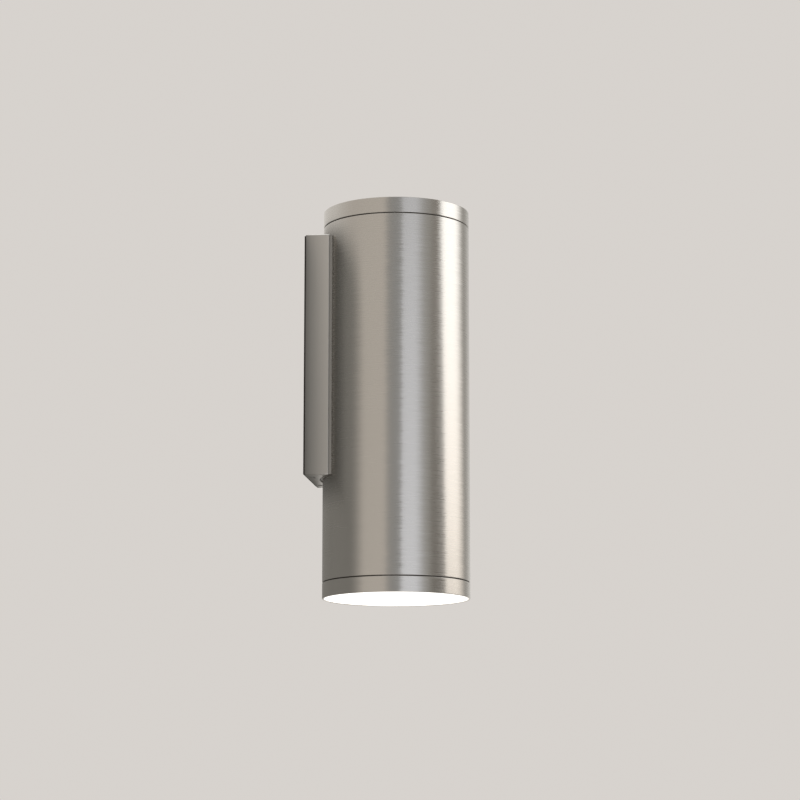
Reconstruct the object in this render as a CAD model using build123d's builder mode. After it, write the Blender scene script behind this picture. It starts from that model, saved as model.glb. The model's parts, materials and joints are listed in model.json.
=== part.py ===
from build123d import *

import os
from math import radians, sqrt, tan

# A wall light that shines down: a brushed steel tube, closed at the top, on a slim wall bracket.
# All sizes are in millimetres. The origin is on the wall, at the middle of the bracket's back.
# +Z is up and +Y points into the wall, so the light stands on the -Y side.

# ---------------------------------------------------------------- driving sizes

# Tube and end rings
tube_radius = 56.25
tube_wall = 1.5
light_height = 300.0  # over both end rings
ring_height = 11.8  # the part of each end ring that shows
shadow_gap = 0.8  # dark line between an end ring and the tube
edge_break = 0.3  # small bevel on the turned outer edges
tube_to_wall = 10.6  # from the back of the tube to the wall

# Bracket
bracket_width = 68.0
bracket_below_top = 22.25  # from the light's top down to the bracket's top
bracket_above_bottom = 91.25  # from the light's lower rim up to the bracket's lower end
shell_sheet = 2.0
corner_round = 0.8
lip_round = 0.3
wall_seal_thickness = 1.1
wall_seal_width = 1.0
seal_inset = 0.8  # how far the seals stand back from the metal around them
pad_thickness = 2.2

# Wall plate
plate_thickness = 2.0
plate_corner = 3.0
plate_gap = 0.9  # from the plate's edge to the inside of the shell
wall_screw_radius = 2.75
wall_screw_to_bolt = 26.0  # along the plate
cable_window_radius = 12.0
bolt_window_radius = 8.0
tab_width = 10.0
tab_spacing = 40.0
tab_inset = 4.4  # from the plate's end to a tab's outer face
tab_gap = 0.5  # from a tab's front edge to the saddle

# Set screws that lock the shell on the plate's tabs
set_screw_radius = 2.0
set_screw_socket = 1.1
set_screw_recess = 0.3
boss_width = 6.6

# Bolts and nipple that join the bracket to the tube
bolt_end_distance = 17.25  # from a bolt to the bracket's nearer end
bolt_radius = 3.0
bolt_head_radius = 5.2
bolt_head_height = 3.0
bolt_length = 15.5
bolt_socket = 2.3
washer_radius = 6.0
washer_thickness = 1.2
nut_across_flats = 10.0
nut_height = 4.0
nipple_radius = 5.0
nipple_bore = 3.9
nipple_head_radius = 7.5
nipple_head_height = 1.5
nipple_nut_across_flats = 14.0
nipple_nut_height = 3.0
nipple_end = 1.0  # how far the nipple stands out of its nut

# Clearances
fit_gap = 0.05  # between pieces that are glued, screwed or pressed together
hole_gap = 0.3  # round a bolt in its hole
thread_gap = 0.3  # between the crests of a screwed ring and its collar

# Threaded collars in the tube's ends
collar_length = 17.4
collar_wall = 3.0
ledge_width = 5.4
ledge_thickness = 4.0
thread_pitch = 2.0
thread_turns = 3
thread_depth = 0.5
thread_runout = 2.2
spigot_wall = 1.5
cap_lid = 2.5
gap_seal_inset = 0.9

# Diffuser
rim_width = 1.4
diffuser_thickness = 3.0
diffuser_recess = 0.3
diffuser_bevel = 0.4
diffuser_gasket_thickness = 0.6
diffuser_gasket_width = 3.0

# Heat sink and LED board
sink_base = 5.0
sink_rim_gap = 0.6
fin_count = 10
fin_pitch = 9.0
fin_thickness = 1.6
fin_height = 40.0
fin_inset = 3.0
small_screw_radius = 1.5
small_head_radius = 2.5
small_head_height = 1.8
small_socket = 1.0
screw_bite = 3.6  # how far a small screw reaches into the metal that holds it
pad_foil = 0.5
board_thickness = 1.6
board_gap = 0.6
board_screw_inset = 5.4  # from the board's edge to its screws
chip_length = 3.5
chip_width = 2.8
chip_height = 0.8
chip_ring_count = 3
chips_per_step = 4  # more chips in each ring than in the one inside it
chip_side_gap = 3.2  # from the outer chips to the reflector
lead_inset = 5.4  # from the board's edge to the LED leads
lead_hole_radius = 3.0
connector_length = 8.0
connector_width = 6.0
connector_height = 3.0

# Reflector
reflector_wall = 1.2
reflector_lead_gap = 2.8  # from the reflector's upper edge to the connector
reflector_side_gap = 1.0
reflector_end_gap = 1.0
ear_width = 8.0
ear_thickness = 1.5
ear_margin = 4.0

# Gear tray and what stands on it
tray_width = 28.0
tray_thickness = 2.0
tray_end_gap = 1.0
tray_foot_gap = 12.0
driver_width = 38.0
driver_height = 34.0
driver_depth = 26.0
driver_round = 1.5
driver_nut_gap = 2.0
driver_ear = 5.0
driver_ear_width = 20.0
driver_ear_thickness = 2.0
terminal_width = 34.0
terminal_height = 22.0
terminal_depth = 18.0
terminal_round = 0.8
terminal_nut_gap = 4.0
pole_pitch = 10.5
pole_hole_radius = 1.6
pole_hole_depth = 8.0
clamp_screw_inset = 4.5
clamp_well_radius = 2.1
clamp_well_depth = 2.0
earth_below_bolt = 12.0
earth_ring_radius = 4.2
earth_ring_thickness = 1.0
earth_barrel_radius = 1.9
earth_barrel_length = 5.0

# Wires
mains_wire_radius = 1.1
mains_wire_bow = 4.0
wire_grip = 5.0  # how far a wire reaches into its terminal
led_wire_radius = 0.8
led_wire_spread = 1.6
led_wire_bow = 3.0

# ---------------------------------------------------------------- places worked out from them

tube_inner_radius = tube_radius - tube_wall
axis_to_wall = tube_radius + tube_to_wall
bracket_height = light_height - bracket_below_top - bracket_above_bottom
light_top = bracket_height / 2 + bracket_below_top
light_bottom = light_top - light_height
tube_bottom = light_bottom + ring_height + shadow_gap
tube_top = light_top - ring_height - shadow_gap

collar_radius = tube_inner_radius - fit_gap
collar_bore = collar_radius - collar_wall
ledge_radius = collar_bore - ledge_width
sink_screw_circle_radius = ledge_radius + ledge_width / 2
thread_crest = collar_bore - thread_gap
thread_root = thread_crest - thread_depth
spigot_bore = thread_root - spigot_wall
thread_start = ring_height + shadow_gap + thread_runout
spigot_end = thread_start + thread_turns * thread_pitch

diffuser_seat_radius = tube_radius - rim_width
diffuser_seat = diffuser_recess + diffuser_thickness + diffuser_gasket_thickness
diffuser_bottom = light_bottom + diffuser_recess
diffuser_top = diffuser_bottom + diffuser_thickness

sink_bottom = tube_bottom + collar_length
sink_top = sink_bottom + sink_base + fin_height
sink_radius = tube_inner_radius - sink_rim_gap
board_top = sink_bottom - pad_foil
board_bottom = board_top - board_thickness
board_radius = ledge_radius - board_gap
board_screw_circle_radius = board_radius - board_screw_inset
lead_radius = board_radius - lead_inset  # from the tube's axis to the LED leads
reflector_top_radius = lead_radius - connector_width / 2 - reflector_lead_gap - reflector_wall
outer_chip_radius = reflector_top_radius - chip_side_gap - chip_length / 2

saddle_radius = tube_radius + pad_thickness
saddle_back_radius = saddle_radius + shell_sheet
cavity_half_width = bracket_width / 2 - shell_sheet
cavity_half_height = bracket_height / 2 - shell_sheet
pad_half_width = bracket_width / 2 - seal_inset
plate_half_width = cavity_half_width - plate_gap
plate_half_height = cavity_half_height - plate_gap
saddle_back = axis_to_wall - saddle_back_radius  # from the wall, at the bracket's middle
bolt_spacing = bracket_height - 2 * bolt_end_distance
bolt_heights = (-bolt_spacing / 2, bolt_spacing / 2)
wall_screw_spacing = bolt_spacing - 2 * wall_screw_to_bolt

tray_back = axis_to_wall - sqrt(tube_inner_radius**2 - (tray_width / 2) ** 2) + fit_gap
tray_front = tray_back + tray_thickness
tray_top = tube_top - collar_length - tray_end_gap
tray_bottom = sink_top + tray_foot_gap
nipple_nut_reach = nipple_nut_across_flats / sqrt(3)
driver_top = -nipple_nut_reach - driver_nut_gap - driver_ear
driver_bottom = driver_top - driver_height
driver_middle = (driver_top + driver_bottom) / 2
terminal_bottom = nipple_nut_reach + terminal_nut_gap
terminal_top = terminal_bottom + terminal_height
terminal_middle = (terminal_bottom + terminal_top) / 2
terminal_centre_depth = tray_front + terminal_depth / 2
earth_height = bolt_spacing / 2 - earth_below_bolt
lead_depth = axis_to_wall - lead_radius  # from the wall, where the LED leads go down

tube_axis = Axis((0, -axis_to_wall, 0), (0, 0, 1))
tube_section = Plane.XZ.offset(axis_to_wall)  # local x is the radius, local y is the height
bottom_up = (Align.CENTER, Align.CENTER, Align.MIN)
top_down = (Align.CENTER, Align.CENTER, Align.MAX)


def level(height):
    """A horizontal plane on the tube's axis."""
    return Plane((0, -axis_to_wall, height))


def depth_at(radius, sideways):
    """How far from the wall a cylinder round the tube's axis is, this far to the side."""
    return axis_to_wall - sqrt(radius**2 - sideways**2)


def from_bottom(points):
    """Radius and distance from the lower rim, as points of the tube's section."""
    return [(radius, light_bottom + along) for radius, along in points]


def from_top(points):
    """The same, measured down from the upper rim."""
    return [(radius, light_top - along) for radius, along in points]


def ring_outside():
    """The outside of an end ring: its visible band, its shoulder and its screwed spigot."""
    points = [
        (tube_radius - edge_break, 0),
        (tube_radius, edge_break),
        (tube_radius, ring_height - edge_break),
        (tube_radius - edge_break, ring_height),
        (thread_root, ring_height),
    ]
    for turn in range(thread_turns):
        ridge = thread_start + turn * thread_pitch
        points += [(thread_root, ridge), (thread_crest, ridge + thread_pitch / 2)]
    return points + [(thread_root, spigot_end), (spigot_bore, spigot_end)]


def collar_section():
    """A collar: the wall that takes the thread, and the ledge at its inner end."""
    return [
        (collar_bore, 0),
        (collar_radius, 0),
        (collar_radius, collar_length),
        (ledge_radius, collar_length),
        (ledge_radius, collar_length - ledge_thickness),
        (collar_bore, collar_length - ledge_thickness),
    ]


def screw(radius, length, head_radius, head_height, socket):
    """A socket screw: the head stands on z = 0 and the shank points down."""
    with BuildPart() as made:
        Cylinder(radius, length, align=top_down)
        Cylinder(head_radius, head_height, align=bottom_up)
        fillet(made.edges().sort_by(Axis.Z)[-1], head_height / 4)
        with BuildSketch(Plane.XY.offset(head_height)):
            RegularPolygon(socket, 6)
        extrude(amount=-head_height / 2, mode=Mode.SUBTRACT)
    return made.part


def corner_radii(points):
    """Arcs as large as the runs beside each corner of a wire allow."""
    radii = []
    for before, corner, after in zip(points, points[1:], points[2:]):
        into = Vector(*corner) - Vector(*before)
        out = Vector(*after) - Vector(*corner)
        turn = radians(into.get_angle(out))
        radii.append(0.45 * min(into.length, out.length) / tan(turn / 2))
    return radii


def finish(builder, name):
    """Names a finished piece and writes it."""
    builder.part.label = name
    export_step(builder.part, f"parts/{name}.step")


os.makedirs("parts", exist_ok=True)

# ---------------------------------------------------------------- on the wall

# Flat steel plate with a window for the cable, two for the bolt heads and two wall screw holes.
# Four tabs are bent forward for the set screws to press on.
tab_face = plate_half_height - tab_inset
tab_reach = depth_at(saddle_back_radius, tab_spacing / 2 - tab_width / 2) - tab_gap
with BuildPart() as wall_plate:
    with BuildSketch(Plane.XZ):
        RectangleRounded(2 * plate_half_width, 2 * plate_half_height, plate_corner)
        Circle(cable_window_radius, mode=Mode.SUBTRACT)
        with Locations(*[(0, height) for height in bolt_heights]):
            Circle(bolt_window_radius, mode=Mode.SUBTRACT)
        with GridLocations(0, wall_screw_spacing, 1, 2):
            Circle(wall_screw_radius, mode=Mode.SUBTRACT)
    extrude(amount=plate_thickness)
    with BuildSketch(Plane.XZ):
        with GridLocations(tab_spacing, 2 * tab_face - plate_thickness, 2, 2):
            Rectangle(tab_width, plate_thickness)
    extrude(amount=tab_reach)
finish(wall_plate, "wall_plate")

# ---------------------------------------------------------------- bracket

# Pressed steel box, open at the wall, with a hollow front that follows the tube.
lip_depth = depth_at(saddle_radius, bracket_width / 2)
cavity_lip = depth_at(saddle_back_radius, cavity_half_width)
boss_reach = depth_at(saddle_back_radius, tab_spacing / 2 - boss_width / 2)
boss_back = plate_thickness + hole_gap
set_screw_depth = (boss_back + boss_reach) / 2
set_screw_tip = tab_face + fit_gap
set_screw_end = bracket_height / 2 - set_screw_recess
with BuildPart() as bracket_shell:
    with BuildSketch(Plane.XY.offset(-bracket_height / 2)) as shell_outline:
        with BuildLine():
            Polyline(
                (-bracket_width / 2, -lip_depth),
                (-bracket_width / 2, -wall_seal_thickness),
                (bracket_width / 2, -wall_seal_thickness),
                (bracket_width / 2, -lip_depth),
            )
            ThreePointArc(
                (bracket_width / 2, -lip_depth),
                (0, saddle_radius - axis_to_wall),
                (-bracket_width / 2, -lip_depth),
            )
        make_face()
        fillet(shell_outline.vertices(), lip_round)
    extrude(amount=bracket_height)
    with BuildSketch(Plane.XZ):
        RectangleRounded(bracket_width, bracket_height, corner_round)
    extrude(amount=axis_to_wall, mode=Mode.INTERSECT)
    with BuildSketch(Plane.XY.offset(-cavity_half_height)):
        with BuildLine():
            Polyline(
                (-cavity_half_width, -cavity_lip),
                (-cavity_half_width, 0),
                (cavity_half_width, 0),
                (cavity_half_width, -cavity_lip),
            )
            ThreePointArc(
                (cavity_half_width, -cavity_lip),
                (0, -saddle_back),
                (-cavity_half_width, -cavity_lip),
            )
        make_face()
    extrude(amount=2 * cavity_half_height, mode=Mode.SUBTRACT)
    # bosses for the set screws, on the inside of the top and bottom walls
    for side in (-1, 1):
        with BuildSketch(Plane.XY.offset(side * (set_screw_tip + fit_gap))):
            with GridLocations(tab_spacing, 0, 2, 1):
                with Locations((0, -set_screw_depth)):
                    Rectangle(boss_width, boss_reach - boss_back)
        extrude(amount=side * (cavity_half_height - set_screw_tip))
    with BuildSketch(Plane.XY.offset(-bracket_height / 2)):
        with Locations((0, -set_screw_depth)):
            with GridLocations(tab_spacing, 0, 2, 1):
                Circle(set_screw_radius + fit_gap)
    extrude(amount=bracket_height, mode=Mode.SUBTRACT)
    with BuildSketch(Plane.XZ):
        with Locations(*[(0, height) for height in bolt_heights]):
            Circle(bolt_radius + hole_gap)
        Circle(nipple_radius + hole_gap)
    extrude(amount=axis_to_wall, mode=Mode.SUBTRACT)
finish(bracket_shell, "bracket_shell")

# Four set screws, flush in the shell's top and bottom walls.
with BuildPart() as locking_screws:
    for side in (-1, 1):
        with BuildSketch(Plane.XY.offset(side * set_screw_tip)):
            with Locations((0, -set_screw_depth)):
                with GridLocations(tab_spacing, 0, 2, 1):
                    Circle(set_screw_radius)
        extrude(amount=side * (set_screw_end - set_screw_tip))
        with BuildSketch(Plane.XY.offset(side * set_screw_end)):
            with Locations((0, -set_screw_depth)):
                with GridLocations(tab_spacing, 0, 2, 1):
                    RegularPolygon(set_screw_socket, 6)
        extrude(amount=-side * set_screw_radius, mode=Mode.SUBTRACT)
finish(locking_screws, "locking_screws")

# Foam cord between the shell's back edge and the wall.
seal_half_width = bracket_width / 2 - seal_inset
seal_half_height = bracket_height / 2 - seal_inset
with BuildPart() as rear_seal:
    with BuildSketch(Plane.XZ):
        RectangleRounded(2 * seal_half_width, 2 * seal_half_height, corner_round)
        Rectangle(
            2 * (seal_half_width - wall_seal_width),
            2 * (seal_half_height - wall_seal_width),
            mode=Mode.SUBTRACT,
        )
    extrude(amount=wall_seal_thickness)
finish(rear_seal, "rear_seal")

# Grey silicone pad that beds the bracket on the tube.
with BuildPart() as saddle_pad:
    with BuildSketch(level(-seal_half_height)):
        Circle(saddle_radius - fit_gap)
        Circle(tube_radius + fit_gap, mode=Mode.SUBTRACT)
        with Locations((0, tube_radius)):
            Rectangle(2 * pad_half_width, 2 * tube_radius, mode=Mode.INTERSECT)
    extrude(amount=2 * seal_half_height)
    with BuildSketch(Plane.XZ):
        with Locations(*[(0, height) for height in bolt_heights]):
            Circle(bolt_radius + hole_gap)
        Circle(nipple_radius + hole_gap)
    extrude(amount=axis_to_wall, mode=Mode.SUBTRACT)
finish(saddle_pad, "saddle_pad")

# ---------------------------------------------------------------- tube and what joins it to the bracket

with BuildPart() as tube_body:
    with BuildSketch(level(tube_bottom)):
        Circle(tube_radius)
        Circle(tube_inner_radius, mode=Mode.SUBTRACT)
    extrude(amount=tube_top - tube_bottom)
    rims = tube_body.edges().filter_by(GeomType.CIRCLE)
    chamfer(rims.filter_by(lambda rim: rim.radius > tube_inner_radius), edge_break)
    with BuildSketch(Plane.XZ):
        with Locations(*[(0, height) for height in bolt_heights]):
            Circle(bolt_radius + hole_gap)
        Circle(nipple_radius + hole_gap)
    extrude(amount=axis_to_wall, mode=Mode.SUBTRACT)
finish(tube_body, "tube_body")

# Washers under the bolt heads, inside the bracket.
washer_face = saddle_back - washer_thickness
with BuildPart() as saddle_washers:
    with BuildSketch(Plane.XZ.offset(washer_face)):
        with Locations(*[(0, height) for height in bolt_heights]):
            Circle(washer_radius)
            Circle(bolt_radius + fit_gap, mode=Mode.SUBTRACT)
    extrude(amount=washer_thickness)
finish(saddle_washers, "saddle_washers")

# Bolts whose heads sit in the bracket and whose shanks reach through the tray.
saddle_bolt = screw(bolt_radius, bolt_length, bolt_head_radius, bolt_head_height, bolt_socket)
with BuildPart() as saddle_bolts:
    with Locations(*[Location((0, -washer_face, height), (-90, 0, 0)) for height in bolt_heights]):
        add(saddle_bolt)
finish(saddle_bolts, "saddle_bolts")

with BuildPart() as saddle_nuts:
    with BuildSketch(Plane.XZ.offset(tray_front)):
        with Locations(*[(0, height) for height in bolt_heights]):
            RegularPolygon(nut_across_flats / 2, 6, major_radius=False)
            Circle(bolt_radius + fit_gap, mode=Mode.SUBTRACT)
    extrude(amount=nut_height)
finish(saddle_nuts, "saddle_nuts")

# Hollow bolt that the mains cable passes through.
nipple_face = saddle_back - nipple_head_height
nipple_tip = tray_front + nipple_nut_height + nipple_end
with BuildPart() as cable_nipple:
    with BuildSketch(Plane.XZ.offset(nipple_face)):
        Circle(nipple_head_radius)
    extrude(amount=nipple_head_height)
    with BuildSketch(Plane.XZ.offset(nipple_face)):
        Circle(nipple_radius)
    extrude(amount=nipple_tip - nipple_face)
    with BuildSketch(Plane.XZ.offset(nipple_face)):
        Circle(nipple_bore)
    extrude(amount=nipple_tip - nipple_face, mode=Mode.SUBTRACT)
finish(cable_nipple, "cable_nipple")

with BuildPart() as nipple_nut:
    with BuildSketch(Plane.XZ.offset(tray_front)):
        RegularPolygon(nipple_nut_across_flats / 2, 6, major_radius=False)
        Circle(nipple_radius + fit_gap, mode=Mode.SUBTRACT)
    extrude(amount=nipple_nut_height)
finish(nipple_nut, "nipple_nut")

# ---------------------------------------------------------------- collars, bezel and cap

with BuildPart() as bottom_collar:
    with BuildSketch(tube_section):
        with BuildLine():
            Polyline(*[(radius, tube_bottom + along) for radius, along in collar_section()], close=True)
        make_face()
    revolve(axis=tube_axis)
    with BuildSketch(level(tube_bottom)):
        with PolarLocations(sink_screw_circle_radius, 3):
            Circle(small_screw_radius + hole_gap)
    extrude(amount=collar_length, mode=Mode.SUBTRACT)
finish(bottom_collar, "bottom_collar")

with BuildPart() as top_collar:
    with BuildSketch(tube_section):
        with BuildLine():
            Polyline(*[(radius, tube_top - along) for radius, along in collar_section()], close=True)
        make_face()
    revolve(axis=tube_axis)
    with BuildSketch(level(tube_top)):
        with PolarLocations(sink_screw_circle_radius, 3):
            Circle(small_screw_radius + hole_gap)
    extrude(amount=-collar_length, mode=Mode.SUBTRACT)
finish(top_collar, "top_collar")

# Lower ring: the diffuser drops into it from below, behind a narrow rim.
bezel_inside = [
    (spigot_bore, diffuser_seat),
    (diffuser_seat_radius, diffuser_seat),
    (diffuser_seat_radius, 0),
]
with BuildPart() as bezel_ring:
    with BuildSketch(tube_section):
        with BuildLine():
            Polyline(*from_bottom(ring_outside() + bezel_inside), close=True)
        make_face()
    revolve(axis=tube_axis)
finish(bezel_ring, "bezel_ring")

# Upper ring: the same outside, closed by a lid.
cap_inside = [(spigot_bore, cap_lid), (0, cap_lid), (0, 0)]
with BuildPart() as top_cap:
    with BuildSketch(tube_section):
        with BuildLine():
            Polyline(*from_top(ring_outside() + cap_inside), close=True)
        make_face()
    revolve(axis=tube_axis)
finish(top_cap, "top_cap")

# Black flat rings at the bottom of the two shadow lines.
for seal_name, seal_level in (("bezel_seal", tube_bottom - shadow_gap), ("cap_seal", tube_top)):
    with BuildPart() as gap_seal:
        with BuildSketch(level(seal_level)):
            Circle(tube_radius - gap_seal_inset)
            Circle(thread_root + fit_gap, mode=Mode.SUBTRACT)
        extrude(amount=shadow_gap)
    finish(gap_seal, seal_name)

# Opal disc, bonded in the bezel over a thin gasket.
diffuser_radius = diffuser_seat_radius - fit_gap
with BuildPart() as diffuser:
    with BuildSketch(level(diffuser_bottom)):
        Circle(diffuser_radius)
    extrude(amount=diffuser_thickness)
    chamfer(diffuser.edges().group_by(Axis.Z)[0], diffuser_bevel)
finish(diffuser, "diffuser")

with BuildPart() as diffuser_gasket:
    with BuildSketch(level(diffuser_top)):
        Circle(diffuser_radius)
        Circle(diffuser_radius - diffuser_gasket_width, mode=Mode.SUBTRACT)
    extrude(amount=diffuser_gasket_thickness)
finish(diffuser_gasket, "diffuser_gasket")

# ---------------------------------------------------------------- light engine

# Finned disc that stands on the lower collar's ledge.
with BuildPart() as heat_sink:
    with BuildSketch(level(sink_bottom)):
        Circle(sink_radius)
    extrude(amount=sink_base)
    with BuildSketch(level(sink_bottom + sink_base)):
        with GridLocations(fin_pitch, 0, fin_count, 1):
            Rectangle(fin_thickness, 2 * sink_radius)
        Circle(sink_radius - fin_inset, mode=Mode.INTERSECT)
    extrude(amount=fin_height)
    with BuildSketch(level(sink_bottom)):
        with PolarLocations(sink_screw_circle_radius, 3):
            Circle(small_screw_radius + fit_gap)
        with PolarLocations(board_screw_circle_radius, 3, start_angle=-90):
            Circle(small_screw_radius + fit_gap)
    extrude(amount=screw_bite + hole_gap, mode=Mode.SUBTRACT)
    with BuildSketch(level(sink_bottom)):
        with Locations((0, lead_radius)):
            Circle(lead_hole_radius)
    extrude(amount=sink_base, mode=Mode.SUBTRACT)
finish(heat_sink, "heat_sink")

# Screws up through the collar's ledge into the heat sink.
sink_screw = screw(
    small_screw_radius, ledge_thickness + screw_bite, small_head_radius, small_head_height, small_socket
)
with BuildPart(level(sink_bottom - ledge_thickness)) as heat_sink_screws:
    with PolarLocations(sink_screw_circle_radius, 3):
        add(sink_screw, rotation=(180, 0, 0))
finish(heat_sink_screws, "heat_sink_screws")

with BuildPart() as thermal_pad:
    with BuildSketch(level(board_top)):
        Circle(board_radius)
        with PolarLocations(board_screw_circle_radius, 3, start_angle=-90):
            Circle(small_screw_radius + hole_gap, mode=Mode.SUBTRACT)
        with Locations((0, lead_radius)):
            Circle(lead_hole_radius, mode=Mode.SUBTRACT)
    extrude(amount=pad_foil)
finish(thermal_pad, "thermal_pad")

with BuildPart() as led_board:
    with BuildSketch(level(board_bottom)):
        Circle(board_radius)
        with PolarLocations(board_screw_circle_radius, 3, start_angle=-90):
            Circle(small_screw_radius + hole_gap, mode=Mode.SUBTRACT)
        with Locations((0, lead_radius)):
            Circle(lead_hole_radius, mode=Mode.SUBTRACT)
    extrude(amount=board_thickness)
finish(led_board, "led_board")

with BuildPart() as led_chips:
    with BuildSketch(level(board_bottom)):
        for ring in range(1, chip_ring_count + 1):
            with PolarLocations(outer_chip_radius * ring / chip_ring_count, chips_per_step * ring):
                Rectangle(chip_length, chip_width)
    extrude(amount=-chip_height)
finish(led_chips, "led_chips")

with BuildPart() as led_connector:
    with BuildSketch(level(board_bottom)):
        with Locations((0, lead_radius)):
            RectangleRounded(connector_length, connector_width, connector_height / 5)
    extrude(amount=-connector_height)
finish(led_connector, "led_connector")

# White cone from the board to just above the diffuser, on three ears.
reflector_low_radius = spigot_bore - reflector_side_gap
reflector_bottom = light_bottom + diffuser_seat + reflector_end_gap
with BuildPart() as reflector:
    with BuildSketch(tube_section):
        with BuildLine():
            Polyline(
                (reflector_top_radius, board_bottom),
                (reflector_top_radius + reflector_wall, board_bottom),
                (reflector_low_radius, reflector_bottom),
                (reflector_low_radius - reflector_wall, reflector_bottom),
                close=True,
            )
        make_face()
    revolve(axis=tube_axis)
    ear_middle = (reflector_top_radius + reflector_wall / 2 + board_screw_circle_radius + ear_margin) / 2
    ear_length = board_screw_circle_radius + ear_margin - reflector_top_radius - reflector_wall / 2
    with BuildSketch(level(board_bottom)):
        with PolarLocations(ear_middle, 3, start_angle=-90):
            Rectangle(ear_length, ear_width)
    extrude(amount=-ear_thickness)
    with BuildSketch(level(board_bottom)):
        with PolarLocations(board_screw_circle_radius, 3, start_angle=-90):
            Circle(small_screw_radius + hole_gap)
    extrude(amount=-ear_thickness, mode=Mode.SUBTRACT)
finish(reflector, "reflector")

# Screws through the reflector's ears and the board into the heat sink.
board_screw = screw(
    small_screw_radius,
    ear_thickness + board_thickness + pad_foil + screw_bite,
    small_head_radius,
    small_head_height,
    small_socket,
)
with BuildPart(level(board_bottom - ear_thickness)) as board_screws:
    with PolarLocations(board_screw_circle_radius, 3, start_angle=-90):
        add(board_screw, rotation=(180, 0, 0))
finish(board_screws, "board_screws")

# ---------------------------------------------------------------- gear tray, driver and terminals

driver_screw_heights = (driver_top + driver_ear / 2, driver_bottom - driver_ear / 2)
terminal_screw_places = ((-pole_pitch / 2, terminal_middle), (pole_pitch / 2, terminal_middle))
with BuildPart() as gear_tray:
    with BuildSketch(Plane.XZ.offset(tray_back)):
        with Locations((0, (tray_top + tray_bottom) / 2)):
            RectangleRounded(tray_width, tray_top - tray_bottom, plate_corner)
        with Locations(*[(0, height) for height in bolt_heights]):
            Circle(bolt_radius + hole_gap, mode=Mode.SUBTRACT)
        Circle(nipple_radius + hole_gap, mode=Mode.SUBTRACT)
        with Locations(*[(0, height) for height in driver_screw_heights]):
            Circle(small_screw_radius + fit_gap, mode=Mode.SUBTRACT)
        with Locations(*terminal_screw_places, (0, earth_height)):
            Circle(small_screw_radius + fit_gap, mode=Mode.SUBTRACT)
    extrude(amount=tray_thickness)
finish(gear_tray, "gear_tray")

with BuildPart() as led_driver:
    with BuildSketch(Plane.XZ.offset(tray_front)):
        with Locations((0, driver_middle)):
            Rectangle(driver_width, driver_height)
    extrude(amount=driver_depth)
    fillet(led_driver.edges().filter_by(Axis.Y), driver_round)
    fillet(led_driver.faces().sort_by(Axis.Y)[0].edges(), driver_round / 2)
    with BuildSketch(Plane.XZ.offset(tray_front)):
        with Locations((0, driver_middle)):
            Rectangle(driver_ear_width, driver_height + 2 * driver_ear)
    extrude(amount=driver_ear_thickness)
    with BuildSketch(Plane.XZ.offset(tray_front)):
        with Locations(*[(0, height) for height in driver_screw_heights]):
            Circle(small_screw_radius + hole_gap)
    extrude(amount=driver_ear_thickness, mode=Mode.SUBTRACT)
finish(led_driver, "led_driver")

tray_screw = screw(
    small_screw_radius,
    driver_ear_thickness + tray_thickness,
    small_head_radius,
    small_head_height,
    small_socket,
)
driver_ear_face = tray_front + driver_ear_thickness
with BuildPart() as driver_screws:
    places = [Location((0, -driver_ear_face, height), (90, 0, 0)) for height in driver_screw_heights]
    with Locations(*places):
        add(tray_screw)
finish(driver_screws, "driver_screws")

# Three-pole block: wires enter from above and below, clamp screws press on them from the front.
pole_places = [(pole * pole_pitch, 0) for pole in (-1, 0, 1)]
clamp_heights = (terminal_bottom + clamp_screw_inset, terminal_top - clamp_screw_inset)
clamp_places = [(across, height) for height in clamp_heights for across, _ in pole_places]
terminal_face = tray_front + terminal_depth
clamp_tip = terminal_centre_depth + mains_wire_radius + fit_gap
with BuildPart() as terminal_block:
    with BuildSketch(Plane.XZ.offset(tray_front)):
        with Locations((0, terminal_middle)):
            Rectangle(terminal_width, terminal_height)
    extrude(amount=terminal_depth)
    fillet(terminal_block.edges().filter_by(Axis.Y), terminal_round)
    for pole_level, side in ((terminal_bottom, 1), (terminal_top, -1)):
        with BuildSketch(Plane.XY.offset(pole_level)):
            with Locations((0, -terminal_centre_depth)):
                with Locations(*pole_places):
                    Circle(pole_hole_radius)
        extrude(amount=side * pole_hole_depth, mode=Mode.SUBTRACT)
    with BuildSketch(Plane.XZ.offset(terminal_face)):
        with Locations(*clamp_places):
            Circle(clamp_well_radius)
    extrude(amount=-clamp_well_depth, mode=Mode.SUBTRACT)
    with BuildSketch(Plane.XZ.offset(terminal_face)):
        with Locations(*clamp_places):
            Circle(small_screw_radius + fit_gap)
    extrude(amount=clamp_tip - terminal_face - fit_gap, mode=Mode.SUBTRACT)
    with BuildSketch(Plane.XZ.offset(tray_front)):
        with Locations(*terminal_screw_places):
            Circle(small_screw_radius + hole_gap)
    extrude(amount=terminal_depth, mode=Mode.SUBTRACT)
finish(terminal_block, "terminal_block")

with BuildPart() as terminal_clamp_screws:
    with BuildSketch(Plane.XZ.offset(clamp_tip)):
        with Locations(*clamp_places):
            Circle(small_screw_radius)
    extrude(amount=terminal_face - clamp_well_depth - clamp_tip)
    with BuildSketch(Plane.XZ.offset(terminal_face - clamp_well_depth)):
        with Locations(*clamp_places):
            Rectangle(2 * small_screw_radius, small_screw_radius / 3)
    extrude(amount=-small_screw_radius / 2, mode=Mode.SUBTRACT)
finish(terminal_clamp_screws, "terminal_clamp_screws")

terminal_screw = screw(
    small_screw_radius,
    terminal_depth + tray_thickness,
    small_head_radius,
    small_head_height,
    small_socket,
)
with BuildPart() as terminal_fixing_screws:
    places = [Location((across, -terminal_face, height), (90, 0, 0)) for across, height in terminal_screw_places]
    with Locations(*places):
        add(terminal_screw)
finish(terminal_fixing_screws, "terminal_fixing_screws")

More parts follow.
